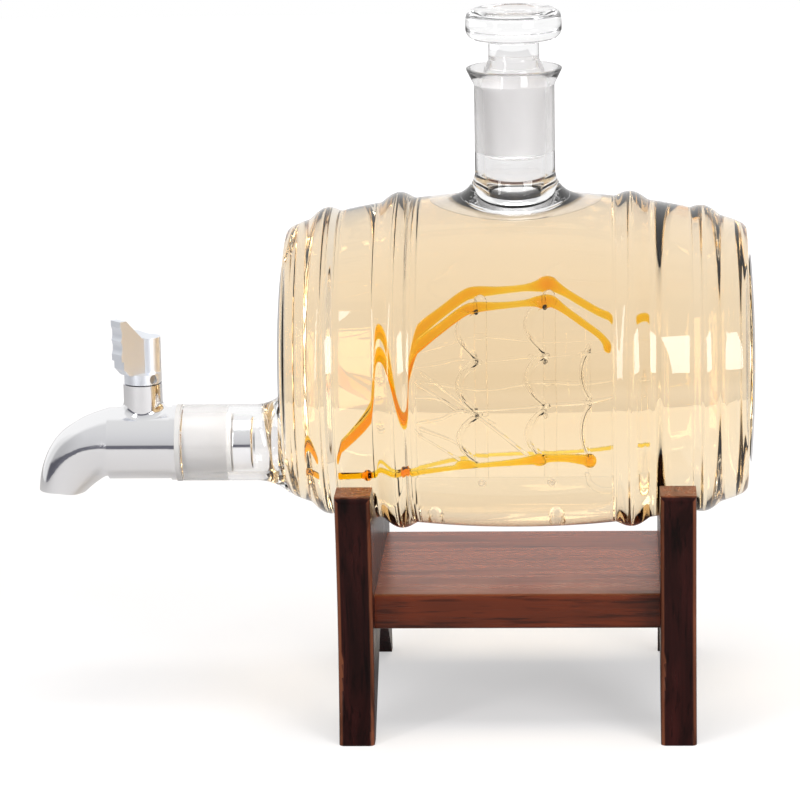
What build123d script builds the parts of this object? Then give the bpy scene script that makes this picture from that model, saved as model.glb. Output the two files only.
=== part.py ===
from build123d import *
from math import asin, cos, degrees, radians, sin, sqrt
import os

# Barrel decanter: a blown glass barrel lying along X in a wooden cradle, a stoppered neck on top,
# a chrome tap in a glass socket low on the left end and a lampworked glass ship fused inside.
# All sizes are in millimetres. While the pieces are built, X is measured from the middle of the
# barrel and Z from the table. The finished row is shifted along X to the middle of its own box.

# Glass barrel
barrel_length = 155.0
belly_radius = 54.9
belly_rise = 9.6
shoulder_radius = 6.5
end_dome = 2.3
glass_wall = 2.6

# Applied glass hoops
inner_hoop_offset = 38.0
inner_hoop_width = 10.8
inner_hoop_rise = 2.4
outer_hoop_offset = 62.3
outer_hoop_width = 9.2
outer_hoop_rise = 1.9

# Neck with its ground mouth, flared lip and spreading foot
neck_radius = 13.0
neck_height = 96.5
neck_bore_radius = 10.0
ground_length = 22.5
ground_taper_share = 0.05
ground_inset = 5.0
lip_radius = 15.5
lip_height = 5.6
lip_band = 1.6
lip_edge_round = 0.6
lip_funnel_radius = 13.2
foot_half_length = 28.0
foot_half_depth = 21.5
foot_rise = 0.8
foot_fillet = 5.0

# Stopper
ground_gap = 0.1
plug_overhang = 1.4
plug_edge_round = 1.5
plug_shoulder_radius = 9.6
stem_radius = 8.2
stem_height = 6.5
knob_radius = 15.5
knob_thickness = 9.6
knob_edge_round = 3.2
knob_dish_radius = 11.2
knob_dish_depth = 1.5
knob_clearance = 9.4

# Glass socket for the tap
tap_edge = 17.7
socket_radius = 12.6
socket_bore_radius = 9.8
socket_length = 33.6
socket_flare_length = 9.5
socket_flare_rise = 5.2
socket_flare_offset = 1.6

# Tap
sleeve_gap = 0.06
gasket_thickness = 1.6
gasket_radius = 12.7
tail_radius = 7.4
tail_reach = 24.0
tail_nut_radius = 9.0
tail_nut_length = 7.0
tail_nut_round = 0.8
pipe_radius = 11.8
flange_radius = 12.3
flange_length = 1.8
pipe_length = 22.0
elbow_reach = 7.8
elbow_drop = 4.4
elbow_radius = 9.4
spout_reach = 13.9
spout_drop = 16.2
spout_radius = 7.6
spout_bore_radius = 6.0
spout_bore_depth = 5.0
waterway_radius = 3.3
waterway_lean = 1.9
boss_setback = 11.0
boss_radius = 6.4
boss_height = 20.4
boss_fillet = 2.6

# Valve and its key
valve_gap = 0.05
valve_radius = 4.8
valve_floor = 8.2
stem_pin_radius = 2.6
gland_radius = 5.4
gland_length = 4.0
seal_ring_radius = 0.7
seal_ring_spacing = 6.0
key_base_radius = 6.0
key_base_height = 3.4
key_lift = 0.3
key_hub_radius = 4.3
key_hub_height = 11.6
key_hub_offset = 2.6
key_wing_thickness = 5.2
key_wing_reach = 10.4
key_wing_height = 16.0
key_wing_flat = 2.4
key_wing_step = 4.4
key_wing_inset = 0.9
key_groove_radius = 4.0
key_groove_depth = 0.5
key_wing_angle = 225.0
key_lobe_count = 3
grub_radius = 1.5
grub_length = 2.6

# Wooden stand
board_inset = 0.5
board_thickness = 11.5
board_height = 82.4
board_setback = 31.5
board_edge_hollow = 4.5
board_round = 1.8
cradle_gap = 0.3
cradle_depth = 19.044
foot_length = 6.4
arch_height = 38.0
arch_round = 25.0
shelf_setback = 15.0
shelf_thickness = 11.5
shelf_clearance = 14.1
screw_radius = 2.0
screw_head_radius = 4.2
screw_head_depth = 2.6
screw_length = 38.0
screw_inset = 18.0
screw_slot_width = 0.9
screw_slot_depth = 1.0

# Glass ship, placed from the barrel's middle and axis
deck_drop = 26.5
hull_length = 78.0
hull_half_beam = 12.0
hull_depth = 9.5
hull_middle = -7.0
keel_share = 0.62
rail_radius = 0.9
bowsprit_length = 12.6
bowsprit_radius = 1.1
mast_radius = 2.0
mast_head = 3.4
mizzen_radius = 0.8
yard_radius = 0.7
yard_half_length = 7.0
sail_height = 12.9
sail_belly = 6.2
mizzen_belly = 3.4
sail_thickness = 0.8
sail_half_width = 6.5
sail_seat_share = 0.5
foremast_offset = -11.1
mainmast_offset = 10.3
mizzen_offset = 22.6
full_row_count = 3
mizzen_row_count = 2
strand_radius = 1.0
strand_bend = 5.0
line_radius = 0.45
post_radius = 0.8
post_lean = 1.6

# Corners of a strand from the bowsprit's tip to the stern: along, across, height from the axis
strand_corners = [
    (-58.7, 0.4, -24.2),
    (-47.2, 3.6, -14.8),
    (-34.0, 7.0, 2.2),
    (-23.3, 6.8, 9.6),
    (-13.3, 6.2, 14.9),
    (2.6, 6.2, 15.9),
    (10.3, 6.4, 16.4),
    (20.3, 8.0, 11.5),
    (31.0, 11.5, 6.1),
]
strut_radius = 1.7
strut_offset = 19.0
strut_half_spread = 6.0

overrun = 1.0


# Places that several pieces share

barrel_half = barrel_length / 2
end_radius = belly_radius - belly_rise
belly_corner_x = barrel_half - end_dome
belly_arc_radius = (belly_corner_x ** 2 + belly_rise ** 2) / (2 * belly_rise)


def belly_outer_radius(x):
    """Outer radius of the barrel's side at a distance x from its middle."""
    return belly_radius - belly_arc_radius + sqrt(belly_arc_radius ** 2 - x ** 2)


board_gap = barrel_length - 2 * board_setback
cradle_radius = belly_outer_radius(board_gap / 2) + cradle_gap
barrel_axis_height = board_height - cradle_depth + cradle_radius
tap_axis_height = barrel_axis_height - end_radius + tap_edge
socket_rim_x = -barrel_half - socket_length
flange_x = socket_rim_x - gasket_thickness
boss_x = flange_x - boss_setback
pipe_end_x = flange_x - pipe_length
spout_x = pipe_end_x - spout_reach
boss_top = tap_axis_height + boss_height
board_outer_x = board_gap / 2 + board_thickness
board_depth = 2 * (belly_radius - board_inset)
shelf_depth = board_depth - 2 * shelf_setback
shelf_top = barrel_axis_height - belly_radius - shelf_clearance
ground_top = neck_height - ground_inset
ground_start = ground_top - ground_length
axis_centre = Vector(0, 0, barrel_axis_height)
tail_end = socket_rim_x + tail_reach
tail_nut_x = tail_end - tail_nut_length


def bore_radius_at(height):
    """Radius of the neck's ground bore at a height above the barrel's axis."""
    return neck_bore_radius + ground_taper_share * (height - ground_start)


def turned(corners):
    """Solid turned about Z from (radius, height, rounding) corners that start and end on Z."""
    points = [(radius, height) for radius, height, rounding in corners]
    roundings = [rounding for radius, height, rounding in corners[1:-1]]
    side = FilletPolyline(*points, radius=roundings)
    face = make_face([side, Line(points[-1], points[0])])
    return revolve(Plane.XZ * face, Axis.Z)


def rod(start, end, radius):
    """Round bar between two points."""
    start, end = Vector(*start), Vector(*end)
    along = end - start
    base = Plane(origin=start, z_dir=along)
    return base * Cylinder(radius, along.length, align=(Align.CENTER, Align.CENTER, Align.MIN))


def tube_x(radius, start, end, height, across=0):
    """Round bar along X at a height above the table."""
    return rod((start, across, height), (end, across, height), radius)


def mirrored_x(solid):
    """Copy on the other side of the barrel's middle plane."""
    return mirror(solid, Plane.YZ)


# Glass barrel

def barrel_form(inset):
    """Solid inside the barrel's outer face, drawn in by inset, centred on the barrel's axis."""
    half = barrel_half - inset
    corner_x = half - end_dome
    corner_r = end_radius - inset
    dome_radius = (corner_r ** 2 + end_dome ** 2) / (2 * end_dome)
    dome_angle = degrees(asin(corner_r / dome_radius))
    right_dome = JernArc((half, 0), (0, 1), dome_radius, dome_angle)
    left_dome = JernArc((-half, 0), (0, 1), dome_radius, -dome_angle)
    belly = ThreePointArc((corner_x, corner_r), (0, belly_radius - inset), (-corner_x, corner_r))
    section = make_face([Line((-half, 0), (half, 0)), right_dome, belly, left_dome])
    corners = [v for v in section.vertices() if v.Y > corner_r / 2]
    section = fillet(corners, shoulder_radius - inset)
    return Pos(axis_centre) * revolve(Plane.XZ * section, Axis.X)


barrel_outside = barrel_form(0)
barrel_inside = barrel_form(glass_wall)


def neck_bore():
    """Space down the neck: a funnel at the lip, the ground taper and a plain bore into the barrel."""
    root = belly_radius - glass_wall - foot_rise * 2
    corners = [
        (0, root, 0),
        (neck_bore_radius, root, 0),
        (neck_bore_radius, ground_start, 0),
        (bore_radius_at(ground_top), ground_top, 0),
        (lip_funnel_radius, neck_height, 0),
        (lip_funnel_radius, neck_height + overrun, 0),
        (0, neck_height + overrun, 0),
    ]
    return Pos(axis_centre) * turned(corners)


def socket_bore():
    """Space along the tap socket, from its rim into the barrel."""
    end = -barrel_half + glass_wall * 2 + end_dome
    return tube_x(socket_bore_radius, socket_rim_x - overrun, end, tap_axis_height)


def barrel_shell():
    return barrel_outside - barrel_inside - neck_bore() - socket_bore()


def hoop(offset, width, rise):
    """Applied ring of glass with a domed section, lying on the barrel's side."""
    ring_radius = belly_outer_radius(offset)
    section = Pos(offset, ring_radius) * Ellipse(width / 2, rise)
    ring = Pos(axis_centre) * revolve(Plane.XZ * section, Axis.X)
    return ring - barrel_outside


def neck():
    """Neck tube with a flared lip and a foot that spreads over the top of the barrel."""
    lip_start = neck_height - lip_height
    lip_end = neck_height - lip_band
    root = belly_radius - glass_wall
    tube = turned(
        [
            (0, root, 0),
            (neck_radius, root, 0),
            (neck_radius, lip_start, lip_height / 2),
            (lip_radius, lip_end, lip_edge_round),
            (lip_radius, neck_height, lip_edge_round),
            (0, neck_height, 0),
        ]
    )
    foot_plan = Plane.XY.offset(root / 2) * Ellipse(foot_half_length, foot_half_depth)
    foot = Pos(axis_centre) * extrude(foot_plan, root) & barrel_form(-foot_rise)
    joined = Pos(axis_centre) * tube + foot
    seam = [
        e
        for e in joined.edges()
        if all(
            abs(Vector(e.position_at(t).X, e.position_at(t).Y).length - neck_radius) < lip_edge_round
            for t in (0, 1 / 4, 1 / 2)
        )
        and root < e.center().Z - barrel_axis_height < lip_start
    ]
    joined = fillet(seam, foot_fillet)
    return joined - barrel_outside - neck_bore()


def tap_socket():
    """Glass tube on the left end for the tap, spreading where it meets the barrel."""
    flare_start = -barrel_half - socket_flare_length + end_dome
    flare_shares = [(0, 0), (1 / 3, 1 / 10), (2 / 3, 2 / 5), (1, 1)]
    sections = []
    for along, rise in flare_shares:
        half_across = socket_radius + socket_flare_rise * rise
        half_up = half_across - socket_flare_offset * rise
        plane = Plane(
            origin=(
                flare_start + socket_flare_length * along,
                0,
                tap_axis_height + socket_flare_offset * rise,
            ),
            x_dir=(0, 1, 0),
            z_dir=(1, 0, 0),
        )
        sections.append(plane * Ellipse(half_across, half_up))
    flare = loft(sections)
    tube = tube_x(socket_radius, socket_rim_x, flare_start, tap_axis_height)
    return tube + flare - barrel_outside - socket_bore()


# Stopper

def stopper():
    """Solid glass stopper: ground plug, waist and a dished knob."""
    plug_bottom = ground_start - plug_overhang
    plug_top = ground_top - plug_overhang
    knob_bottom = neck_height + knob_clearance
    knob_top = knob_bottom + knob_thickness
    stem_start = knob_bottom - stem_height
    corners = [
        (0, plug_bottom, 0),
        (bore_radius_at(plug_bottom) - ground_gap, plug_bottom, plug_edge_round),
        (bore_radius_at(plug_top) - ground_gap, plug_top, plug_edge_round),
        (plug_shoulder_radius, neck_height, plug_edge_round),
        (stem_radius, stem_start, plug_edge_round),
        (stem_radius, knob_bottom, plug_edge_round),
        (knob_radius, knob_bottom, knob_edge_round),
        (knob_radius, knob_top, knob_edge_round),
        (0, knob_top, 0),
    ]
    dish_radius = (knob_dish_radius ** 2 + knob_dish_depth ** 2) / (2 * knob_dish_depth)
    dish = Pos(0, 0, knob_top + dish_radius - knob_dish_depth) * Sphere(dish_radius)
    return Pos(axis_centre) * (turned(corners) - dish)


# Tap

def sealing_sleeve():
    """Soft sleeve between the tap's tail and the ground bore of the socket."""
    outer = socket_bore_radius - sleeve_gap
    inner = tail_radius + sleeve_gap
    end = tail_nut_x - sleeve_gap
    sleeve = tube_x(outer, socket_rim_x, end, tap_axis_height)
    return sleeve - tube_x(inner, socket_rim_x - overrun, end + overrun, tap_axis_height)


def flange_gasket():
    """Soft ring between the tap's flange and the socket's rim."""
    ring = tube_x(gasket_radius, flange_x + sleeve_gap, socket_rim_x, tap_axis_height)
    hole = tube_x(tail_radius + sleeve_gap, flange_x - overrun, socket_rim_x + overrun, tap_axis_height)
    return ring - hole


def tap_outside():
    """Outer form of the tap: pipe, elbow, spout and valve boss, without its tail."""
    flange = tube_x(flange_radius, flange_x - flange_length, flange_x, tap_axis_height)
    pipe = tube_x(pipe_radius, pipe_end_x, flange_x - flange_length, tap_axis_height)
    start = Plane(origin=(pipe_end_x, 0, tap_axis_height), x_dir=(0, 1, 0), z_dir=(-1, 0, 0))
    middle = Plane(
        origin=(pipe_end_x - elbow_reach, 0, tap_axis_height - elbow_drop),
        x_dir=(0, 1, 0),
        z_dir=(-1, 0, -1),
    )
    mouth = Plane(
        origin=(spout_x, 0, tap_axis_height - spout_drop),
        x_dir=(0, 1, 0),
        z_dir=(0, 0, -1),
    )
    elbow = loft([start * Circle(pipe_radius), middle * Circle(elbow_radius), mouth * Circle(spout_radius)])
    boss = rod((boss_x, 0, tap_axis_height), (boss_x, 0, boss_top), boss_radius)
    body = pipe + boss
    seam = [e for e in body.edges() if e.geom_type not in (GeomType.LINE, GeomType.CIRCLE)]
    body = fillet(seam, boss_fillet)
    return body + elbow + flange


def tap_body():
    """Chrome tap with its tail, waterway, valve chamber and open spout."""
    body = tap_outside() + tube_x(tail_radius, flange_x, tail_end, tap_axis_height)
    turn_x = spout_x + waterway_lean
    mouth_height = tap_axis_height - spout_drop
    waterway = tube_x(waterway_radius, turn_x, tail_end + overrun, tap_axis_height)
    drop = rod((turn_x, 0, tap_axis_height), (turn_x, 0, mouth_height - overrun), waterway_radius)
    turn = Pos(turn_x, 0, tap_axis_height) * Sphere(waterway_radius)
    mouth = rod(
        (spout_x, 0, mouth_height + spout_bore_depth),
        (spout_x, 0, mouth_height - overrun),
        spout_bore_radius,
    )
    chamber_floor = tap_axis_height - valve_floor
    chamber = rod((boss_x, 0, chamber_floor), (boss_x, 0, boss_top + overrun), valve_radius + valve_gap)
    gland_seat = rod((boss_x, 0, boss_top - gland_length), (boss_x, 0, boss_top + overrun), gland_radius)
    return body - waterway - drop - turn - mouth - chamber - gland_seat


def tail_nut():
    """Round nut on the inner end of the tail, which holds the sleeve on."""
    nut = tube_x(tail_nut_radius, tail_nut_x, tail_end, tap_axis_height)
    nut = fillet(nut.edges().filter_by(GeomType.CIRCLE), tail_nut_round)
    return nut - tube_x(tail_radius, tail_nut_x - overrun, tail_end + overrun, tap_axis_height)


def gland_bush():
    """Pressed bush in the top of the boss, which keeps the valve plug in."""
    bush = rod((boss_x, 0, boss_top - gland_length), (boss_x, 0, boss_top), gland_radius)
    hole = rod(
        (boss_x, 0, boss_top - gland_length - overrun),
        (boss_x, 0, boss_top + overrun),
        stem_pin_radius + valve_gap,
    )
    return bush - hole


def seal_ring_heights():
    """Heights of the two seal rings, one above and one below the waterway."""
    lower = tap_axis_height - seal_ring_spacing
    upper = tap_axis_height + seal_ring_spacing
    return (lower, upper)


def valve_plug():
    """Turning plug with a cross port, ring grooves and the pin that carries the key."""
    floor = tap_axis_height - valve_floor + valve_gap
    plug_top = boss_top - gland_length - valve_gap
    key_floor = boss_top + key_lift
    plug = rod((boss_x, 0, floor), (boss_x, 0, plug_top), valve_radius)
    pin = rod((boss_x, 0, plug_top), (boss_x, 0, key_floor + key_base_height), stem_pin_radius)
    port = rod(
        (boss_x, -valve_radius - overrun, tap_axis_height),
        (boss_x, valve_radius + overrun, tap_axis_height),
        waterway_radius,
    )
    body = plug + pin - port
    ring_width = seal_ring_radius * 2
    groove = Cylinder(valve_radius + overrun, ring_width) - Cylinder(valve_radius - ring_width, ring_width)
    for height in seal_ring_heights():
        body = body - Pos(boss_x, 0, height) * groove
    return body


def seal_rings():
    """Two soft rings in the plug's grooves."""
    ring = Torus(valve_radius - seal_ring_radius, seal_ring_radius)
    return [Pos(boss_x, 0, height) * ring for height in seal_ring_heights()]


def key_frame():
    """Plane at the foot of the key, with its own X axis pointing along the wing."""
    turn = radians(key_wing_angle)
    return Plane(
        origin=(boss_x, 0, boss_top + key_lift),
        x_dir=(cos(turn), sin(turn), 0),
        z_dir=(0, 0, 1),
    )


def valve_key():
    """Cast key: a round base on the pin, an off-centre hub and a grooved thumb wing."""
    hub_centre = -key_hub_offset
    hub = Pos(hub_centre, 0, 0) * Cylinder(
        key_hub_radius, key_base_height + key_hub_height, align=(Align.CENTER, Align.CENTER, Align.MIN)
    )
    base = Cylinder(key_base_radius, key_base_height, align=(Align.CENTER, Align.CENTER, Align.MIN))
    wing_end = key_wing_reach
    step_top = key_base_height + key_wing_step
    hub_top = key_base_height + key_hub_height
    wing_top = key_base_height + key_wing_height
    outline = Polyline(
        (hub_centre, key_base_height),
        (wing_end - key_wing_inset - key_wing_flat, key_base_height),
        (wing_end - key_wing_inset, step_top - key_wing_step / 2),
        (wing_end - key_wing_inset, step_top),
        (wing_end, step_top),
        (wing_end, wing_top),
        (wing_end - key_wing_flat, wing_top),
        (hub_centre + key_hub_radius, hub_top),
        (hub_centre, hub_top),
        close=True,
    )
    side = make_face(outline)
    groove_x = wing_end + key_groove_radius - key_groove_depth
    lobe_height = (wing_top - step_top) / key_lobe_count
    for i in range(1, key_lobe_count):
        side = side - Pos(groove_x, step_top + lobe_height * i) * Circle(key_groove_radius)
    wing = extrude(Plane.XZ * side, key_wing_thickness / 2, both=True)
    body = wing + hub + base
    pin_hole = Cylinder(stem_pin_radius, key_base_height, align=(Align.CENTER, Align.CENTER, Align.MIN))
    grub_seat = grub_cylinder(grub_radius)
    return key_frame() * (body - pin_hole - grub_seat)


def grub_cylinder(radius):
    """Space of the set screw that clamps the key to its pin, across the wing."""
    start = Plane(
        origin=(0, stem_pin_radius, key_base_height / 2), x_dir=(1, 0, 0), z_dir=(0, 1, 0)
    )
    reach = key_base_radius - stem_pin_radius + overrun
    return start * Cylinder(radius, reach, align=(Align.CENTER, Align.CENTER, Align.MIN))


def key_grub_screw():
    """Small set screw in the key's base."""
    start = Plane(
        origin=(0, stem_pin_radius, key_base_height / 2), x_dir=(1, 0, 0), z_dir=(0, 1, 0)
    )
    screw = start * Cylinder(grub_radius, grub_length, align=(Align.CENTER, Align.CENTER, Align.MIN))
    return key_frame() * screw


# Wooden stand

def board_outline():
    """Outline of an end board in depth and height: feet, arch, hollow edges, horns and cradle."""
    half = board_depth / 2
    horn_drop = barrel_axis_height - board_height
    horn_edge = sqrt(cradle_radius ** 2 - horn_drop ** 2)
    arch_edge = half - foot_length
    return [
        Line((arch_edge, 0), (half, 0)),
        ThreePointArc((half, 0), (half - board_edge_hollow, board_height / 2), (half, board_height)),
        Line((half, board_height), (horn_edge, board_height)),
        ThreePointArc(
            (horn_edge, board_height),
            (0, barrel_axis_height - cradle_radius),
            (-horn_edge, board_height),
        ),
        Line((-horn_edge, board_height), (-half, board_height)),
        ThreePointArc((-half, board_height), (-half + board_edge_hollow, board_height / 2), (-half, 0)),
        Line((-half, 0), (-arch_edge, 0)),
        FilletPolyline((-arch_edge, 0), (0, arch_height), (arch_edge, 0), radius=arch_round),
    ]


def screw_places():
    """Depth and height of the two screws in each end board."""
    reach = shelf_depth / 2 - screw_inset
    height = shelf_top - shelf_thickness / 2
    return [(-reach, height), (reach, height)]


def screw_form(across, height):
    """One wood screw in the right end board, its head level with the board's outer face."""
    shank = tube_x(screw_radius, board_outer_x - screw_length, board_outer_x, height, across)
    head_plane = Plane(
        origin=(board_outer_x - screw_head_depth, across, height), x_dir=(0, 1, 0), z_dir=(1, 0, 0)
    )
    head = head_plane * Cone(
        screw_radius, screw_head_radius, screw_head_depth, align=(Align.CENTER, Align.CENTER, Align.MIN)
    )
    return shank + head


def end_board():
    """Right end board, with rounded edges and the holes of its two screws."""
    inner_face = Plane(origin=(board_gap / 2, 0, 0), x_dir=(0, 1, 0), z_dir=(1, 0, 0))
    board = extrude(inner_face * make_face(board_outline()), board_thickness)
    hollow_start = board_depth / 2 - board_edge_hollow - overrun
    outer_edges = [
        e for e in board.edges() if e.center().Z > arch_height / 2 and abs(e.center().Y) > hollow_start
    ]
    board = fillet(outer_edges, board_round)
    for across, height in screw_places():
        board = board - screw_form(across, height)
    return board


def shelf_board():
    """Shelf between the end boards, with its front and back edges rounded."""
    shelf = Pos(0, 0, shelf_top - shelf_thickness / 2) * Box(board_gap, shelf_depth, shelf_thickness)
    shelf = fillet(shelf.edges().filter_by(Axis.X), board_round)
    for across, height in screw_places():
        screw = screw_form(across, height)
        shelf = shelf - screw - mirrored_x(screw)
    return shelf


def stand_screws():
    """The four slotted screws that hold the shelf to the end boards."""
    screws = []
    for across, height in screw_places():
        slot = Pos(board_outer_x - screw_slot_depth / 2, across, height) * Box(
            screw_slot_depth, screw_head_radius * 2, screw_slot_width
        )
        screw = screw_form(across, height) - slot
        screws += [screw, mirrored_x(screw)]
    return screws


# Glass ship

deck_height = barrel_axis_height - deck_drop
bow_x = hull_middle - hull_length / 2
stern_x = hull_middle + hull_length / 2
sail_levels = [deck_height + sail_height * i for i in range(full_row_count + 1)]
mast_rows = {
    "fore": (foremast_offset, full_row_count, mast_radius, sail_belly),
    "main": (mainmast_offset, full_row_count, mast_radius, sail_belly),
    "mizzen": (mizzen_offset, mizzen_row_count, mizzen_radius, mizzen_belly),
}


def hull_plan():
    """Deck outline: two arcs that meet at the bow and the stern."""
    return [
        ThreePointArc((bow_x, 0), (hull_middle, hull_half_beam), (stern_x, 0)),
        ThreePointArc((stern_x, 0), (hull_middle, -hull_half_beam), (bow_x, 0)),
    ]


def ship_hull():
    """Clear glass hull, drawn in towards its keel."""
    keel = deck_height - hull_depth
    deck = Plane.XY.offset(deck_height) * make_face(hull_plan())
    keel_plan = scale(make_face(hull_plan()), by=keel_share)
    floor = Plane.XY.offset(keel) * (Pos(hull_middle * (1 - keel_share), 0) * keel_plan)
    return loft([floor, deck])


def ship_rails():
    """Amber rods along both sides of the deck, joined at the bow to the bowsprit."""
    rails = []
    for side in (1, -1):
        arc = ThreePointArc(
            (bow_x, 0, deck_height + rail_radius),
            (hull_middle, side * hull_half_beam, deck_height + rail_radius),
            (stern_x, 0, deck_height + rail_radius),
        )
        section = Plane(origin=arc @ 0, z_dir=arc % 0) * Circle(rail_radius)
        rails.append(sweep(section, path=arc))
    height = deck_height + rail_radius
    bowsprit = rod((bow_x, 0, height), (bow_x - bowsprit_length, 0, height), bowsprit_radius)
    ends = [Pos(x, 0, height) * Sphere(bowsprit_radius) for x in (bow_x - bowsprit_length, bow_x, stern_x)]
    whole = rails[0] + rails[1] + bowsprit
    for end in ends:
        whole = whole + end
    return whole


def ship_masts():
    """Three clear masts with their yards. The two full ones reach up to the strands."""
    masts = []
    for offset, rows, radius, belly in mast_rows.values():
        top = sail_levels[rows]
        if rows == full_row_count:
            top = top + mast_head
        mast = rod((offset, 0, deck_height), (offset, 0, top), radius)
        for level in sail_levels[1:rows] + [top]:
            ends = ((offset, -yard_half_length, level), (offset, yard_half_length, level))
            mast = mast + rod(*ends, yard_radius)
        masts.append(mast)
    return masts


def sail(name, row):
    """One blown sheet of glass on a mast's front, bellied towards the bow between two levels."""
    offset, rows, radius, belly = mast_rows[name]
    low = sail_levels[row] + yard_radius
    high = sail_levels[row + 1] - yard_radius
    middle = (low + high) / 2
    seat = offset - radius * sail_seat_share
    front = ThreePointArc((seat, low), (seat - belly, middle), (seat, high))
    back = ThreePointArc((seat, high), (seat - belly + sail_thickness, middle), (seat, low))
    sheet = extrude(Plane.XZ * make_face([front, back]), sail_half_width, both=True)
    return sheet - rod((offset, 0, low - sail_height), (offset, 0, high + sail_height), radius)


def ship_sails(name):
    return [sail(name, row) for row in range(mast_rows[name][1])]


def strand_route(side):
    """Corners of one amber strand, from the bowsprit's tip over the mast heads to the stern."""
    return [(x, side * across, barrel_axis_height + height) for x, across, height in strand_corners]


def ship_strands():
    """Two amber strands over the ship, one on each side."""
    strands = []
    for side in (1, -1):
        path = FilletPolyline(*strand_route(side), radius=strand_bend)
        section = Plane(origin=path @ 0, z_dir=path % 0) * Circle(strand_radius)
        strands.append(sweep(section, path=path))
    return strands


def ship_posts():
    """Clear stern posts that carry the after ends of the strands."""
    posts = []
    for side in (1, -1):
        end = strand_route(side)[-1]
        foot = (end[0] - post_lean, side * post_radius, deck_height)
        posts.append(rod(foot, end, post_radius))
    return posts


def ship_lines():
    """Thin clear lines that join the yards' ends from mast to mast and down to the bow."""
    lines = []
    for side in (1, -1):
        across = side * (yard_half_length - line_radius)
        for level in sail_levels[1:full_row_count]:
            fore_end = (foremast_offset, across, level)
            lines.append(rod(fore_end, (mizzen_offset, across, level), line_radius))
            lines.append(rod(fore_end, (bow_x, 0, deck_height + rail_radius), line_radius))
    return lines


def ship_struts():
    """Short clear columns that fuse the hull to the bottom of the barrel."""
    struts = []
    keel = deck_height - hull_depth
    floor = barrel_axis_height - belly_radius
    for along in (hull_middle - strut_offset, hull_middle + strut_offset):
        for across in (-strut_half_spread, strut_half_spread):
            column = rod((along, across, floor), (along, across, keel), strut_radius)
            struts.append(column & barrel_inside)
    return struts


# Assembly

def group(solids):
    """One node from several separate solids."""
    return Compound(children=[s if isinstance(s, Solid) else s.solid() for s in solids])


right_board = end_board()
nodes = {
    "end_board_left": mirrored_x(right_board),
    "end_board_right": right_board,
    "shelf_board": shelf_board(),
    "stand_screws": group(stand_screws()),
    "barrel_shell": barrel_shell(),
    "hoop_outer_left": hoop(-outer_hoop_offset, outer_hoop_width, outer_hoop_rise),
    "hoop_inner_left": hoop(-inner_hoop_offset, inner_hoop_width, inner_hoop_rise),
    "hoop_inner_right": hoop(inner_hoop_offset, inner_hoop_width, inner_hoop_rise),
    "hoop_outer_right": hoop(outer_hoop_offset, outer_hoop_width, outer_hoop_rise),
    "neck": neck(),
    "tap_socket": tap_socket(),
    "stopper": stopper(),
    "sealing_sleeve": sealing_sleeve(),
    "flange_gasket": flange_gasket(),
    "tap_body": tap_body(),
    "tail_nut": tail_nut(),
    "gland_bush": gland_bush(),
    "valve_plug": valve_plug(),
    "seal_rings": group(seal_rings()),
    "valve_key": valve_key(),
    "key_grub_screw": key_grub_screw(),
    "ship_hull": ship_hull(),
    "ship_rails": ship_rails(),
    "ship_masts": group(ship_masts()),
    "ship_sails_fore": group(ship_sails("fore")),
    "ship_sails_main": group(ship_sails("main")),
    "ship_sails_mizzen": group(ship_sails("mizzen")),
    "ship_strands": group(ship_strands()),
    "ship_posts": group(ship_posts()),
    "ship_lines": group(ship_lines()),
    "ship_struts": group(ship_struts()),
}

left_end = min(node.bounding_box().min.X for node in nodes.values())
right_end = max(node.bounding_box().max.X for node in nodes.values())
row_middle = (left_end + right_end) / 2
print("row middle", row_middle, "barrel axis", barrel_axis_height, "tap axis", tap_axis_height)

os.makedirs("parts", exist_ok=True)
for name, node in nodes.items():
    export_step(Pos(-row_middle, 0, 0) * node, f"parts/{name}.step")
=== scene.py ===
import math
import bmesh
import bpy
from mathutils import Matrix, Quaternion, Vector


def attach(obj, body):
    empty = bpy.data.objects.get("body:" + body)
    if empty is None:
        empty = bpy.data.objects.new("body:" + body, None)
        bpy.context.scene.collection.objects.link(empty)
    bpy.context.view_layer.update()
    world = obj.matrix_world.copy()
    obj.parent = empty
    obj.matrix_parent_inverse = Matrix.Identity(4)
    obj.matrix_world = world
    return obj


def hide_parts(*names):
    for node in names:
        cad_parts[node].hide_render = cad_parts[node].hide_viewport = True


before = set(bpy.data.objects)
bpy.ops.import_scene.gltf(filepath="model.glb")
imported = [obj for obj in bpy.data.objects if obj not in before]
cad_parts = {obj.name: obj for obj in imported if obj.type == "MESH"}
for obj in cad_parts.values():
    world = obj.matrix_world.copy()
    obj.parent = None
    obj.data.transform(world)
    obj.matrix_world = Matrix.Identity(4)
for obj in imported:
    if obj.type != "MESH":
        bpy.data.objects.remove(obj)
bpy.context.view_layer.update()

# Camera: about 1.3 metres from the decanter, a little above it and nearly square to
# the barrel, with a long lens. The barrel's middle lies right of the frame's middle.
barrel_x = 0.03935
axis_z = 0.115
barrel_middle = Vector((barrel_x, 0, axis_z))
camera_distance = 1.30
camera_turn = math.radians(1.5)
camera_tilt = math.radians(13.0)
camera_roll = math.radians(-1.1)
lens_data = bpy.data.cameras.new("camera")
lens_data.sensor_width = 36
lens_data.lens = 178.4
camera = bpy.data.objects.new("camera", lens_data)
bpy.context.scene.collection.objects.link(camera)
camera_back = Vector((
    math.sin(camera_turn) * math.cos(camera_tilt),
    -math.cos(camera_turn) * math.cos(camera_tilt),
    math.sin(camera_tilt),
))
camera_right = Vector((math.cos(camera_turn), math.sin(camera_turn), 0))
camera_up = camera_back.cross(camera_right)
barrel_right = 0.03867
barrel_above = 0.01295
look_at = barrel_middle - camera_right * barrel_right - camera_up * barrel_above
camera.location = barrel_middle + camera_back * camera_distance
camera.rotation_mode = "QUATERNION"
level = (look_at - camera.location).to_track_quat("-Z", "Y")
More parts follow.
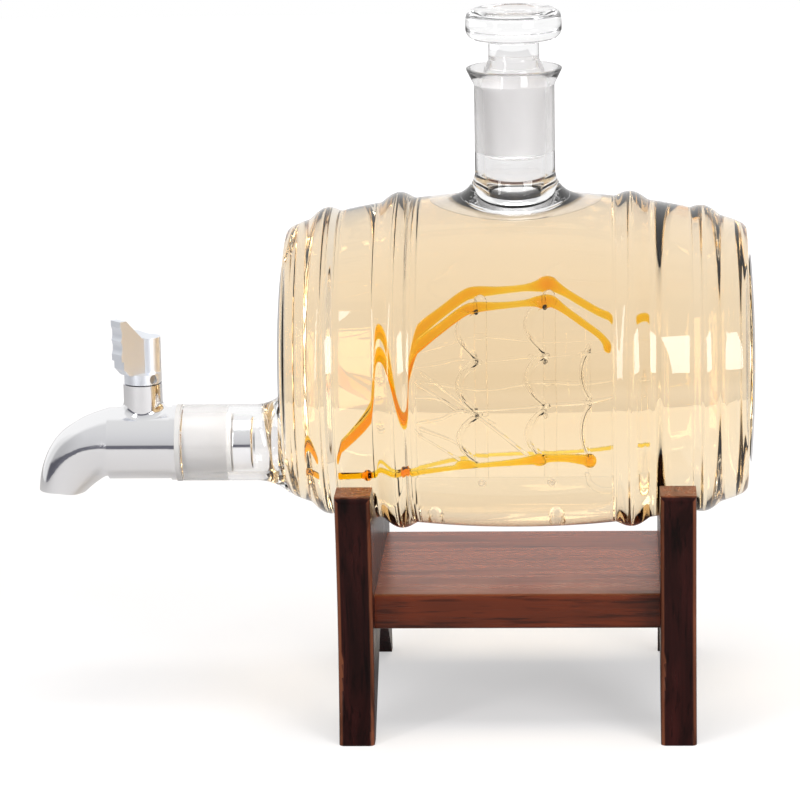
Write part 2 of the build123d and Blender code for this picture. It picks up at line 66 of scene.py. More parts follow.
camera.rotation_quaternion = level @ Quaternion((0, 0, 1), camera_roll)
bpy.context.scene.camera = camera
bpy.context.scene.view_settings.view_transform = "Standard"

# Studio: a pale table whose front edge is close to the piece, a white room round it, and
# softboxes at plain strength. Bright metal mirrors the dark space below the table's edge.
table_mesh = bmesh.new()
bmesh.ops.create_grid(table_mesh, x_segments=1, y_segments=1, size=1)
bmesh.ops.scale(table_mesh, vec=(0.75, 1.20, 1), verts=table_mesh.verts)
bmesh.ops.translate(table_mesh, vec=(0.05, 0.42, 0), verts=table_mesh.verts)
table_data = bpy.data.meshes.new("table")
table_mesh.to_mesh(table_data)
table_mesh.free()
table = bpy.data.objects.new("table", table_data)
bpy.context.scene.collection.objects.link(table)

table_paint = bpy.data.materials.new("table_paint")
table_paint.use_nodes = True
nodes, links = table_paint.node_tree.nodes, table_paint.node_tree.links
nodes.clear()
rays = nodes.new("ShaderNodeLightPath")
seen = nodes.new("ShaderNodeMath")
seen.operation = "MULTIPLY_ADD"
links.new(rays.outputs["Is Transmission Ray"], seen.inputs[0])
seen_through_glass = 0.50
seen.inputs[1].default_value = seen_through_glass
links.new(rays.outputs["Is Camera Ray"], seen.inputs[2])
spot = nodes.new("ShaderNodeTexCoord")
spot_parts = nodes.new("ShaderNodeSeparateXYZ")
links.new(spot.outputs["Object"], spot_parts.inputs[0])
# The table's glow is weaker near the piece and stronger far behind it: painted shade on the floor
# round the piece.
sweep = nodes.new("ShaderNodeMapRange")
sweep.inputs["From Min"].default_value = 0.12
sweep.inputs["From Max"].default_value = 0.90
sweep.inputs["To Min"].default_value = 0.43
sweep.inputs["To Max"].default_value = 0.85
links.new(spot_parts.outputs["Y"], sweep.inputs["Value"])
glow_with_painted_shade = nodes.new("ShaderNodeMath")
glow_with_painted_shade.operation = "MULTIPLY"
links.new(seen.outputs[0], glow_with_painted_shade.inputs[0])
links.new(sweep.outputs[0], glow_with_painted_shade.inputs[1])
glow = nodes.new("ShaderNodeEmission")
links.new(glow_with_painted_shade.outputs[0], glow.inputs["Strength"])
matt = nodes.new("ShaderNodeBsdfDiffuse")
# Reflections see the table a little lighter than the camera does: a painted brightening of its
# reflection.
tone = nodes.new("ShaderNodeMix")
tone.data_type = "RGBA"
tone.inputs["A"].default_value = (0.50, 0.49, 0.49, 1)
tone.inputs["B"].default_value = (0.56, 0.55, 0.55, 1)
links.new(rays.outputs["Is Glossy Ray"], tone.inputs["Factor"])
links.new(tone.outputs["Result"], matt.inputs["Color"])
both = nodes.new("ShaderNodeAddShader")
links.new(glow.outputs[0], both.inputs[0])
links.new(matt.outputs[0], both.inputs[1])
out = nodes.new("ShaderNodeOutputMaterial")
links.new(both.outputs[0], out.inputs["Surface"])
table_data.materials.append(table_paint)

room = bpy.data.worlds.new("room")
bpy.context.scene.world = room
room.use_nodes = True
nodes, links = room.node_tree.nodes, room.node_tree.links
nodes.clear()
rays = nodes.new("ShaderNodeLightPath")
way = nodes.new("ShaderNodeTexCoord")
parts = nodes.new("ShaderNodeSeparateXYZ")
links.new(way.outputs["Generated"], parts.inputs[0])
front = nodes.new("ShaderNodeValToRGB")
front.color_ramp.elements[0].position = 0.0
front.color_ramp.elements[0].color = (0.7, 0.7, 0.7, 1)
front.color_ramp.elements[1].position = 1.0
front.color_ramp.elements[1].color = (0.8, 0.8, 0.8, 1)
blue_in_dark, blue_in_light = 1.2, 1.02
for place, shade in ((0.41, 0.62), (0.44, 0.16), (0.53, 0.13), (0.555, 0.60), (0.75, 0.70)):
    stop = front.color_ramp.elements.new(place)
    stop.color = (shade, shade, shade * (blue_in_dark if shade < 0.5 else blue_in_light), 1)
height = nodes.new("ShaderNodeMapRange")
height.inputs["From Min"].default_value = -1
links.new(parts.outputs["Z"], height.inputs["Value"])
links.new(height.outputs[0], front.inputs["Fac"])
behind = nodes.new("ShaderNodeMapRange")
behind.inputs["From Min"].default_value = -0.05
behind.inputs["From Max"].default_value = 0.15
links.new(parts.outputs["Y"], behind.inputs["Value"])
round_room = nodes.new("ShaderNodeMix")
round_room.data_type = "RGBA"
round_room.inputs["B"].default_value = (1, 1, 1, 1)
links.new(behind.outputs[0], round_room.inputs["Factor"])
links.new(front.outputs["Color"], round_room.inputs["A"])
sideways = nodes.new("ShaderNodeMath")
sideways.operation = "ABSOLUTE"
links.new(parts.outputs["X"], sideways.inputs[0])
wings = nodes.new("ShaderNodeMapRange")
wings.inputs["From Min"].default_value = 0.78
wings.inputs["From Max"].default_value = 0.92
wings.inputs["To Min"].default_value = 1.0
side_tone = nodes.new("ShaderNodeMapRange")
side_tone.inputs["To Min"].default_value = 0.24
side_tone.inputs["To Max"].default_value = 0.80
links.new(rays.outputs["Is Glossy Ray"], side_tone.inputs["Value"])
links.new(side_tone.outputs[0], wings.inputs["To Max"])
links.new(sideways.outputs[0], wings.inputs["Value"])
walls = nodes.new("ShaderNodeMix")
walls.data_type = "RGBA"
walls.blend_type = "MULTIPLY"
walls.inputs["Factor"].default_value = 1
links.new(round_room.outputs["Result"], walls.inputs["A"])
links.new(wings.outputs[0], walls.inputs["B"])
ambient = nodes.new("ShaderNodeMix")
ambient.data_type = "RGBA"
ambient.inputs["B"].default_value = (0.60, 0.60, 0.60, 1)
links.new(rays.outputs["Is Diffuse Ray"], ambient.inputs["Factor"])
links.new(walls.outputs["Result"], ambient.inputs["A"])
backdrop = nodes.new("ShaderNodeMix")
backdrop.data_type = "RGBA"
backdrop.inputs["B"].default_value = (1, 1, 1, 1)
links.new(rays.outputs["Is Camera Ray"], backdrop.inputs["Factor"])
links.new(ambient.outputs["Result"], backdrop.inputs["A"])
sky = nodes.new("ShaderNodeBackground")
links.new(backdrop.outputs["Result"], sky.inputs["Color"])
out = nodes.new("ShaderNodeOutputWorld")
links.new(sky.outputs[0], out.inputs["Surface"])

softboxes = (
    ("softbox_right", (0.50, -0.62, 0.32), (0.34, 0.36), 3.6),
    ("softbox_left", (-0.50, -0.60, 0.48), (0.12, 0.80), 2.2),
    ("softbox_top", (0.05, -0.10, 0.95), (0.70, 0.50), 5.0),
)
for name, place, (width, length), power in softboxes:
    lamp = bpy.data.lights.new(name, "AREA")
    lamp.shape = "RECTANGLE"
    lamp.size = width
    lamp.size_y = length
    lamp.energy = power
    softbox = bpy.data.objects.new(name, lamp)
    bpy.context.scene.collection.objects.link(softbox)
    softbox.location = place
    softbox.rotation_mode = "QUATERNION"
    aim = barrel_middle - Vector(place)
    if name != "softbox_top":
        aim.z = 0
    softbox.rotation_quaternion = aim.to_track_quat("-Z", "Y")
    softbox.visible_camera = False
    softbox.visible_glossy = name != "softbox_top"

# Cradle: two end boards and a shelf of solid wood, stained dark red-brown and lacquered.
# The grain runs up the end boards and along the shelf; rounded edges carry a painted highlight and
# upward faces painted light from above, both broken up unevenly.
mm = 0.001


def grain_group():
    """Node group: colour, roughness and height of stained grain that runs along Z, with a painted
    highlight on rounded edges and painted light on upward faces.
    """
    group = bpy.data.node_groups.new("stained_grain", "ShaderNodeTree")
    face = group.interface
    face.new_socket("Vector", in_out="INPUT", socket_type="NodeSocketVector")
    face.new_socket("Facing", in_out="INPUT", socket_type="NodeSocketVector")
    face.new_socket("Painted Light", in_out="INPUT", socket_type="NodeSocketColor")
    face.new_socket("Dark", in_out="INPUT", socket_type="NodeSocketColor")
    face.new_socket("Light", in_out="INPUT", socket_type="NodeSocketColor")
    face.new_socket("Color", in_out="OUTPUT", socket_type="NodeSocketColor")
    face.new_socket("Roughness", in_out="OUTPUT", socket_type="NodeSocketFloat")
    face.new_socket("Height", in_out="OUTPUT", socket_type="NodeSocketFloat")
    nodes, links = group.nodes, group.links
    start = nodes.new("NodeGroupInput")
    end = nodes.new("NodeGroupOutput")
    long_way = nodes.new("ShaderNodeMapping")
    long_way.inputs["Scale"].default_value = (1, 1, 0.07)
    links.new(start.outputs["Vector"], long_way.inputs["Vector"])
    figure = nodes.new("ShaderNodeTexNoise")
    figure.inputs["Scale"].default_value = 130
    figure.inputs["Detail"].default_value = 5
    figure.inputs["Roughness"].default_value = 0.62
    figure.inputs["Distortion"].default_value = 1.1
    links.new(long_way.outputs[0], figure.inputs["Vector"])
    pores = nodes.new("ShaderNodeTexNoise")
    pores.inputs["Scale"].default_value = 900
    pores.inputs["Detail"].default_value = 2
    links.new(long_way.outputs[0], pores.inputs["Vector"])
    blotch = nodes.new("ShaderNodeTexNoise")
    blotch.inputs["Scale"].default_value = 28
    blotch.inputs["Detail"].default_value = 2
    links.new(start.outputs["Vector"], blotch.inputs["Vector"])
    mixed = nodes.new("ShaderNodeMath")
    mixed.operation = "MULTIPLY_ADD"
    links.new(blotch.outputs["Fac"], mixed.inputs[0])
    mixed.inputs[1].default_value = 0.45
    links.new(figure.outputs["Fac"], mixed.inputs[2])
    spread = nodes.new("ShaderNodeMapRange")
    spread.inputs["From Min"].default_value = 0.52
    spread.inputs["From Max"].default_value = 0.94
    links.new(mixed.outputs[0], spread.inputs["Value"])
    stain = nodes.new("ShaderNodeMix")
    stain.data_type = "RGBA"
    links.new(spread.outputs[0], stain.inputs["Factor"])
    links.new(start.outputs["Dark"], stain.inputs["A"])
    links.new(start.outputs["Light"], stain.inputs["B"])
    pits = nodes.new("ShaderNodeMapRange")
    pits.inputs["From Min"].default_value = 0.33
    pits.inputs["From Max"].default_value = 0.46
    links.new(pores.outputs["Fac"], pits.inputs["Value"])
    darkened = nodes.new("ShaderNodeMix")
    darkened.data_type = "RGBA"
    darkened.blend_type = "MULTIPLY"
    darkened.inputs["Factor"].default_value = 0.55
    links.new(stain.outputs["Result"], darkened.inputs["A"])
    links.new(pits.outputs[0], darkened.inputs["B"])
    facing = nodes.new("ShaderNodeSeparateXYZ")
    links.new(start.outputs["Facing"], facing.inputs[0])
    round_side = nodes.new("ShaderNodeMath")
    round_side.operation = "MULTIPLY"
    links.new(facing.outputs["X"], round_side.inputs[0])
    links.new(facing.outputs["X"], round_side.inputs[1])
    # Painted highlight: rounded edges, whose normals lean partly along X, are marked to be lightened.
    edge = nodes.new("ShaderNodeValToRGB")
    edge.color_ramp.elements[0].position = 0.06
    edge.color_ramp.elements[0].color = (0, 0, 0, 1)
    edge.color_ramp.elements[1].position = 0.96
    edge.color_ramp.elements[1].color = (0, 0, 0, 1)
    for place in (0.22, 0.74):
        edge.color_ramp.elements.new(place).color = (1, 1, 1, 1)
    links.new(round_side.outputs[0], edge.inputs["Fac"])
    # Painted light from above: faces that look up are marked to be lightened.
    painted_top_light = nodes.new("ShaderNodeMapRange")
    painted_top_light.inputs["From Min"].default_value = 0.75
    painted_top_light.inputs["From Max"].default_value = 0.97
    links.new(facing.outputs["Z"], painted_top_light.inputs["Value"])
    painted_edge_and_top_light = nodes.new("ShaderNodeMath")
    painted_edge_and_top_light.operation = "MAXIMUM"
    links.new(edge.outputs["Color"], painted_edge_and_top_light.inputs[0])
    links.new(painted_top_light.outputs[0], painted_edge_and_top_light.inputs[1])
    uneven = nodes.new("ShaderNodeMapRange")
    uneven.inputs["From Min"].default_value = 0.36
    uneven.inputs["From Max"].default_value = 0.60
    uneven.inputs["To Min"].default_value = 0.25
    links.new(figure.outputs["Fac"], uneven.inputs["Value"])
    uneven_painted_light = nodes.new("ShaderNodeMath")
    uneven_painted_light.operation = "MULTIPLY"
    links.new(painted_edge_and_top_light.outputs[0], uneven_painted_light.inputs[0])
    links.new(uneven.outputs[0], uneven_painted_light.inputs[1])
    # Lightens the marked edges and tops towards the painted light colour, unevenly along the grain:
    # painted highlight and painted top light.
    painted_light_mix = nodes.new("ShaderNodeMix")
    painted_light_mix.data_type = "RGBA"
    links.new(uneven_painted_light.outputs[0], painted_light_mix.inputs["Factor"])
    links.new(darkened.outputs["Result"], painted_light_mix.inputs["A"])
    links.new(start.outputs["Painted Light"], painted_light_mix.inputs["B"])
    links.new(painted_light_mix.outputs["Result"], end.inputs["Color"])
    shine = nodes.new("ShaderNodeMapRange")
    shine.inputs["To Min"].default_value = 0.34
    shine.inputs["To Max"].default_value = 0.22
    links.new(figure.outputs["Fac"], shine.inputs["Value"])
    links.new(shine.outputs[0], end.inputs["Roughness"])
    links.new(pits.outputs[0], end.inputs["Height"])
    return group


def wood(name, turn, dark, light, painted_light, gloss):
    """Stained and lacquered wood whose grain runs along the axis that turn brings to Z."""
    stuff = bpy.data.materials.new(name)
    stuff.use_nodes = True
    nodes, links = stuff.node_tree.nodes, stuff.node_tree.links
    shader = nodes["Principled BSDF"]
    place = nodes.new("ShaderNodeTexCoord")
    turned = nodes.new("ShaderNodeMapping")
    turned.inputs["Rotation"].default_value = turn
    grain = nodes.new("ShaderNodeGroup")
    grain.node_tree = bpy.data.node_groups.get("stained_grain") or grain_group()
    # Painted light colour: rounded edges and upward faces turn to it, as painted highlight and light
    # from above.
    grain.inputs["Dark"].default_value = (*dark, 1)
    grain.inputs["Light"].default_value = (*light, 1)
    grain.inputs["Painted Light"].default_value = (*painted_light, 1)
    bump = nodes.new("ShaderNodeBump")
    bump.inputs["Strength"].default_value = 0.25
    bump.inputs["Distance"].default_value = 0.05 * mm
    links.new(place.outputs["Object"], turned.inputs["Vector"])
    links.new(turned.outputs[0], grain.inputs["Vector"])
    links.new(place.outputs["Normal"], grain.inputs["Facing"])
    links.new(grain.outputs["Color"], shader.inputs["Base Color"])
    links.new(grain.outputs["Roughness"], shader.inputs["Roughness"])
    links.new(grain.outputs["Height"], bump.inputs["Height"])
    links.new(bump.outputs[0], shader.inputs["Normal"])
    shader.inputs["Specular IOR Level"].default_value = gloss
    return stuff


# The third colour of each wood is its painted light, laid on rounded edges and upward faces.
board_wood = wood(
    "board_wood", turn=(0, 0, 0), dark=(0.003, 0.0009, 0.0008), light=(0.034, 0.0070, 0.006),
    painted_light=(0.19, 0.060, 0.028), gloss=0.10,
)
shelf_wood = wood(
    "shelf_wood", turn=(0, math.pi / 2, 0), dark=(0.035, 0.007, 0.002), light=(0.13, 0.021, 0.005),
    painted_light=(0.16, 0.042, 0.016), gloss=0.26,
)
for name, stuff in (
    ("end_board_left", board_wood),
    ("end_board_right", board_wood),
    ("shelf_board", shelf_wood),
):
    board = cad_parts[name]
    board.data.materials.clear()
    board.data.materials.append(stuff)

# Screws: four steel wood screws that hold the shelf between the boards, driven level with
# the outer faces, with straight slots.
screw_steel = bpy.data.materials.new("screw_steel")
screw_steel.use_nodes = True
nodes, links = screw_steel.node_tree.nodes, screw_steel.node_tree.links
shader = nodes["Principled BSDF"]
shader.inputs["Metallic"].default_value = 1
place = nodes.new("ShaderNodeTexCoord")
scratches = nodes.new("ShaderNodeTexNoise")
scratches.inputs["Scale"].default_value = 700
scratches.inputs["Detail"].default_value = 4
links.new(place.outputs["Object"], scratches.inputs["Vector"])
tone = nodes.new("ShaderNodeMapRange")
tone.inputs["To Min"].default_value = 0.24
tone.inputs["To Max"].default_value = 0.48
links.new(scratches.outputs["Fac"], tone.inputs["Value"])
links.new(tone.outputs[0], shader.inputs["Roughness"])
shader.inputs["Base Color"].default_value = (0.42, 0.41, 0.40, 1)
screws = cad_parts["stand_screws"]
screws.data.materials.clear()
screws.data.materials.append(screw_steel)

# Barrel: blown clear glass with four applied hoops and a tube for the tap low on the left end,
# all fused into one vessel and fire polished. The tube is ground inside where the tap seals.
barrel_half = 77.5
belly_radius = 54.9
belly_fall = 0.001441
belly_droop = 9.32e-8
end_dome = 2.3
end_radius = 38.5
shoulder_radius = 5.0
shoulder_length = 14
wall = 2.6
hoops = ((-62.4, 5.2, 2.3), (-38.5, 5.6, 2.5), (37.6, 5.6, 2.1), (61.4, 5.0, 1.7))
hoop_margin = 0.8
hoop_fullness = 1.3
tap_z = axis_z - 27.6 * mm
socket_rim = -111.1
barrel_steps = 160
tube_steps = 96
sharp_angle = math.radians(34)


def belly(x):
    """Outer radius of the barrel's side."""
    return belly_radius - belly_fall * x ** 2 - belly_droop * x ** 4


def rounded(corners, fineness=6):
    """Points of a profile whose (along, out, rounding) corners become arcs."""
    points = []
    for i, (x, y, rounding) in enumerate(corners):
        here = Vector((x, y))
        if rounding == 0 or i in (0, len(corners) - 1):
            points.append(here)
            continue
        before = (Vector(corners[i - 1][:2]) - here).normalized()
        after = (Vector(corners[i + 1][:2]) - here).normalized()
        half_turn = (math.pi - before.angle(after)) / 2
        reach = rounding * math.tan(half_turn)
        centre = here + (before + after).normalized() * (rounding / math.cos(half_turn))
        first = here + before * reach - centre
        last = here + after * reach - centre
        sweep = first.angle_signed(last)
        for k in range(fineness + 1):
            step = Matrix.Rotation(-sweep * k / fineness, 2) @ first
            points.append(centre + step)
    return points


def spun(profile, along, centre, steps):
    """Mesh of an (along, out) profile in millimetres, turned about an axis through centre."""
    shape = bmesh.new()
    out = Vector((0, 0, 1)) if along.z == 0 else Vector((1, 0, 0))
    verts = [shape.verts.new(centre + (along * a + out * max(r, 0)) * mm) for a, r in profile]
    edges = [shape.edges.new(pair) for pair in zip(verts, verts[1:])]
    bmesh.ops.spin(
        shape, geom=verts + edges, cent=centre, axis=along, dvec=(0, 0, 0),
        angle=2 * math.pi, steps=steps, use_merge=True, use_duplicate=False,
    )
    bmesh.ops.remove_doubles(shape, verts=shape.verts, dist=0.002 * mm)
    bmesh.ops.recalc_face_normals(shape, faces=shape.faces)
    return shape


def piece(name, shape):
    """Object made from a bmesh, smooth except at sharp edges."""
    data = bpy.data.meshes.new(name)
    shape.to_mesh(data)
    shape.free()
    data.polygons.foreach_set("use_smooth", [True] * len(data.polygons))
    data.set_sharp_from_angle(angle=sharp_angle)
    thing = bpy.data.objects.new(name, data)
    bpy.context.scene.collection.objects.link(thing)
    return thing


def combine(base, tool, operation):
    """Joins, cuts or intersects base with tool, and removes tool."""
    change = base.modifiers.new("combine", "BOOLEAN")
    change.operation = operation
    change.solver = "EXACT"
    change.object = tool
    seen = base.evaluated_get(bpy.context.evaluated_depsgraph_get())
    data = bpy.data.meshes.new_from_object(seen)
    data.name = base.name
    data.set_sharp_from_angle(angle=sharp_angle)
    base.modifiers.clear()
    base.data = data
    bpy.data.objects.remove(tool)


def barrel_profile(inset, with_hoops):
    """Profile of the barrel from one pole to the other, drawn in by inset."""
    half = barrel_half - inset
    corner = half - end_dome
    corner_r = belly(barrel_half - end_dome) - inset
    dome = (corner_r ** 2 + end_dome ** 2) / (2 * end_dome)
    end = [(half - r ** 2 / (2 * dome), r) for r in (0, 8, 16, 23, 29, 34, end_radius - inset)]
    side = []
    stations = [-corner + 2 * corner * k / 60 for k in range(1, 60)]
    if with_hoops:
        for x, width, rise in hoops:
            stations = [s for s in stations if abs(s - x) > width + hoop_margin]
            for k in range(25):
                share = k / 12 - 1
                swell = rise * (1 - share ** 2) ** hoop_fullness
                side.append((x + width * share, belly(x + width * share) + swell))
    side += [(x, belly(x) - inset) for x in stations]
    shoulder = rounded([
        (half - end_radius ** 2 / (2 * dome), end_radius - inset, 0),
        (corner, corner_r, shoulder_radius - inset),
        (corner - shoulder_length, belly(corner - shoulder_length) - inset, 0),
    ], 10)[1:-1]
    side = [p for p in side if abs(p[0]) < min(q[0] for q in shoulder)]
    right = [tuple(p) for p in end + shoulder]
    left = [(-x, r) for x, r in right]
    return left + sorted(side) + right[::-1]


along_x = Vector((1, 0, 0))
along_z = Vector((0, 0, 1))
tap_line = Vector((barrel_x, 0, tap_z))
vessel = piece("glass_vessel", spun(barrel_profile(0, True), along_x, barrel_middle, barrel_steps))

tube_radius = 12.6
tube_edge = 0.8
tube_end = -90
flare_start = -86.7
flare_length = 11.5
flare_rise = 5.2
flare_lift = 0.9
flare = [(tube_end, tube_radius)]
for k in range(9):
    flare.append((flare_start + flare_length * k / 8, tube_radius + flare_rise * (k / 8) ** 2.2))
tube_mouth = [(socket_rim, 0, 0), (socket_rim, tube_radius, tube_edge), (tube_end, tube_radius, 0)]
socket_outer = rounded(tube_mouth, 4)[:-1] + flare + [(-68, 17.8), (-68, 0)]
socket_shape = spun(socket_outer, along_x, tap_line, tube_steps)
for vert in socket_shape.verts:
    share = min(max((vert.co.x - barrel_x) / mm - flare_start, 0) / flare_length, 1)
    vert.co.z += (flare_lift * share ** 2) * mm
combine(vessel, piece("socket_outer", socket_shape), "UNION")

hollow = piece("hollow", spun(barrel_profile(wall, False), along_x, barrel_middle, barrel_steps))
spirit_level = 53.6
bore_radius = 10
ground_start = 69
ground_end = 91.6
neck_bore = [
    (40, 0), (40, bore_radius), (spirit_level, bore_radius), (ground_start, bore_radius),
    (91.5, 11.125), (95.6, 13.4), (96.6, 14.4), (99, 14.4), (99, 0),
]
combine(hollow, piece("bore_in_barrel", spun(neck_bore, along_z, barrel_middle, tube_steps)), "UNION")
socket_bore_radius = 9.8
socket_bore = [
    (-114, 0), (-114, 10.6), (socket_rim, 10.6), (socket_rim + tube_edge, socket_bore_radius),
    (-95.7, socket_bore_radius), (-70, socket_bore_radius), (-70, 0),
]
combine(hollow, piece("socket_bore", spun(socket_bore, along_x, tap_line, tube_steps)), "UNION")
cavity = hollow.data.copy()
combine(vessel, hollow, "DIFFERENCE")


def glass(name, tint=None, density=0, roughness=0.0, index=1.47, clear_share=1.0, paint=(1, 1, 1)):
    """Clear or tinted glass that lets lamps through, with the tint taken up along its depth."""
    stuff = bpy.data.materials.new(name)
    stuff.use_nodes = True
    nodes, links = stuff.node_tree.nodes, stuff.node_tree.links
    shader = nodes["Principled BSDF"]
    shader.inputs["Base Color"].default_value = (*paint, 1)
    shader.inputs["Roughness"].default_value = roughness
    shader.inputs["IOR"].default_value = index
    shader.inputs["Transmission Weight"].default_value = clear_share
    out = nodes["Material Output"]
    rays = nodes.new("ShaderNodeLightPath")
    clear = nodes.new("ShaderNodeBsdfTransparent")
    pick = nodes.new("ShaderNodeMixShader")
    links.new(rays.outputs["Is Shadow Ray"], pick.inputs["Fac"])
    links.new(shader.outputs[0], pick.inputs[1])
    links.new(clear.outputs[0], pick.inputs[2])
    links.new(pick.outputs[0], out.inputs["Surface"])
    if density:
        depth = nodes.new("ShaderNodeVolumeAbsorption")
        depth.inputs["Color"].default_value = (*tint, 1)
        depth.inputs["Density"].default_value = density
        links.new(depth.outputs[0], out.inputs["Volume"])
    return stuff


clear_glass = glass("clear_glass")
ground_glass = glass("ground_glass", roughness=0.3, clear_share=0.5, paint=(0.60, 0.59, 0.59))
# Spirit wets the inner wall, and its own surface stands for the two there: that wall is unseen.
wet_glass = bpy.data.materials.new("wet_glass")
wet_glass.use_nodes = True
wet_glass.node_tree.nodes["Principled BSDF"].inputs["Alpha"].default_value = 0
vessel.data.materials.clear()
for stuff in (clear_glass, ground_glass, wet_glass):
    vessel.data.materials.append(stuff)
clear_side, ground_side, wet_side = 0, 1, 2
socket_ground_end = -95.5
socket_ground_reach = 10.2
bore_reach = 10.1
end_wall_middle = barrel_half - 1.2
for face in vessel.data.polygons:
    spot = (face.center - barrel_middle) / mm
    from_tap = math.hypot(spot.y, (face.center.z - tap_z) / mm)
    wall_middle = belly(min(abs(spot.x), 75)) - wall / 2
    inside = math.hypot(spot.y, spot.z) < wall_middle and abs(spot.x) < end_wall_middle
    face.material_index = clear_side
    if from_tap < socket_ground_reach and spot.x < socket_ground_end:
        face.material_index = ground_side
    elif inside or (math.hypot(spot.x, spot.y) < bore_reach and spot.z < spirit_level):
        face.material_index = wet_side
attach(vessel, "barrel")
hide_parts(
    "barrel_shell", "hoop_outer_left", "hoop_inner_left", "hoop_inner_right",
    "hoop_outer_right", "tap_socket",
)

# Neck: a drawn tube with a flared lip and a ground mouth. Its foot was spread while hot into
# a thin skin that lies on the barrel, and the barrel was opened through it.
seat_gap = 0.02
neck_radius = 13
neck_top = 96.5
neck_outer = rounded([
    (48, 0, 0), (48, neck_radius, 0), (91.0, neck_radius, 2.5), (95.9, 15.4, 0.3),
    (neck_top, 15.5, 0.25), (neck_top, 0, 0),
])
neck = piece("neck_glass", spun(neck_outer, along_z, barrel_middle, tube_steps))
foot_half_length = 28.0
foot_half_depth = 21.5
foot_rise = 0.4
foot_rim = 0.08
foot_slope = 0.45
foot_fillet = 8.0
foot_inside = 12.4
foot_start = 13.01
foot_depth = 42


def foot_height(x, y):
    """Height above the barrel's axis of the foot, a thin skin that sweeps up to the neck."""
    edge = math.hypot(x / foot_half_length, y / foot_half_depth)
    if edge < 1.005:
        rise = foot_rim + (foot_rise - foot_rim) * min((1 - edge) / foot_slope, 1)
    else:
        rise = -foot_rise
    near = min(max(neck_radius + foot_fillet - math.hypot(x, y), 0), foot_fillet)
    sweep = foot_fillet - math.sqrt(foot_fillet ** 2 - near ** 2)
    return math.sqrt((belly(x) + rise) ** 2 - y ** 2) + sweep


foot = bmesh.new()
bmesh.ops.create_circle(foot, cap_ends=True, radius=foot_inside, segments=tube_steps)
loop = list(foot.edges)
for share in (
    0, 0.005, 0.02, 0.05, 0.1, 0.17, 0.26, 0.37, 0.5, 0.65, 0.76, 0.86, 0.94, 1.0, 1.012, 1.045,
):
    grown = bmesh.ops.extrude_edge_only(foot, edges=loop)["geom"]
    loop = [part for part in grown if isinstance(part, bmesh.types.BMEdge)]
    for vert in [part for part in grown if isinstance(part, bmesh.types.BMVert)]:
        turn = math.atan2(vert.co.y, vert.co.x)
        oval = 1 / math.hypot(math.cos(turn) / foot_half_length, math.sin(turn) / foot_half_depth)
        radius = foot_start + (oval - foot_start) * share
        vert.co.x = radius * math.cos(turn)
        vert.co.y = radius * math.sin(turn)
for vert in foot.verts:
    vert.co.z = foot_height(vert.co.x, vert.co.y)
rims = [edge for edge in foot.edges if edge.is_boundary]
grown = bmesh.ops.extrude_edge_only(foot, edges=rims)["geom"]
for vert in [part for part in grown if isinstance(part, bmesh.types.BMVert)]:
    vert.co.z = foot_depth
bmesh.ops.holes_fill(foot, edges=[edge for edge in foot.edges if edge.is_boundary], sides=0)
bmesh.ops.recalc_face_normals(foot, faces=foot.faces)
on_barrel = Matrix.Translation(barrel_middle) @ Matrix.Scale(mm, 4)
bmesh.ops.transform(foot, matrix=on_barrel, verts=foot.verts)
combine(neck, piece("foot", foot), "UNION")
seat = spun(barrel_profile(-seat_gap, False), along_x, barrel_middle, barrel_steps)
combine(neck, piece("seat", seat), "DIFFERENCE")
combine(neck, piece("neck_bore", spun(neck_bore, along_z, barrel_middle, tube_steps)), "DIFFERENCE")
neck.data.materials.clear()
for stuff in (clear_glass, ground_glass, wet_glass):
    neck.data.materials.append(stuff)
ground_reach = 11.3
wet_reach = 10.02
for face in neck.data.polygons:
    spot = (face.center - barrel_middle) / mm
    from_axis = math.hypot(spot.x, spot.y)
    face.material_index = clear_side
    if from_axis < ground_reach and ground_start < spot.z < ground_end:
        face.material_index = ground_side
    elif from_axis < wet_reach and spot.z < spirit_level:
        face.material_index = wet_side
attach(neck, "barrel")
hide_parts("neck")

# Spirit: a pale amber liquid that fills the barrel to the root of the neck. It has no
# solid of its own and isn't part of the object's structure.
spirit_gap = 0.05 * mm
spirit_length = 0.1545
spirit_depth = 0.16
cavity.name = "spirit"
spirit = bpy.data.objects.new("spirit", cavity)
bpy.context.scene.collection.objects.link(spirit)
keep = bmesh.new()
bmesh.ops.create_cube(keep, size=1)
bmesh.ops.scale(keep, vec=(spirit_length, 0.2, spirit_depth), verts=keep.verts)
below_level = barrel_middle + Vector((0, 0, spirit_level * mm - spirit_depth / 2))
bmesh.ops.translate(keep, vec=below_level, verts=keep.verts)
combine(spirit, piece("keep", keep), "INTERSECT")
spirit_shape = bmesh.new()
spirit_shape.from_mesh(spirit.data)
for vert in spirit_shape.verts:
    vert.co -= vert.normal * spirit_gap
spirit_shape.to_mesh(spirit.data)
spirit_shape.free()
spirit_stuff = glass("amber_spirit", (0.985, 0.66, 0.05), 7.6, index=0.932)
spirit.data.materials.clear()
spirit.data.materials.append(spirit_stuff)
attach(spirit, "barrel")

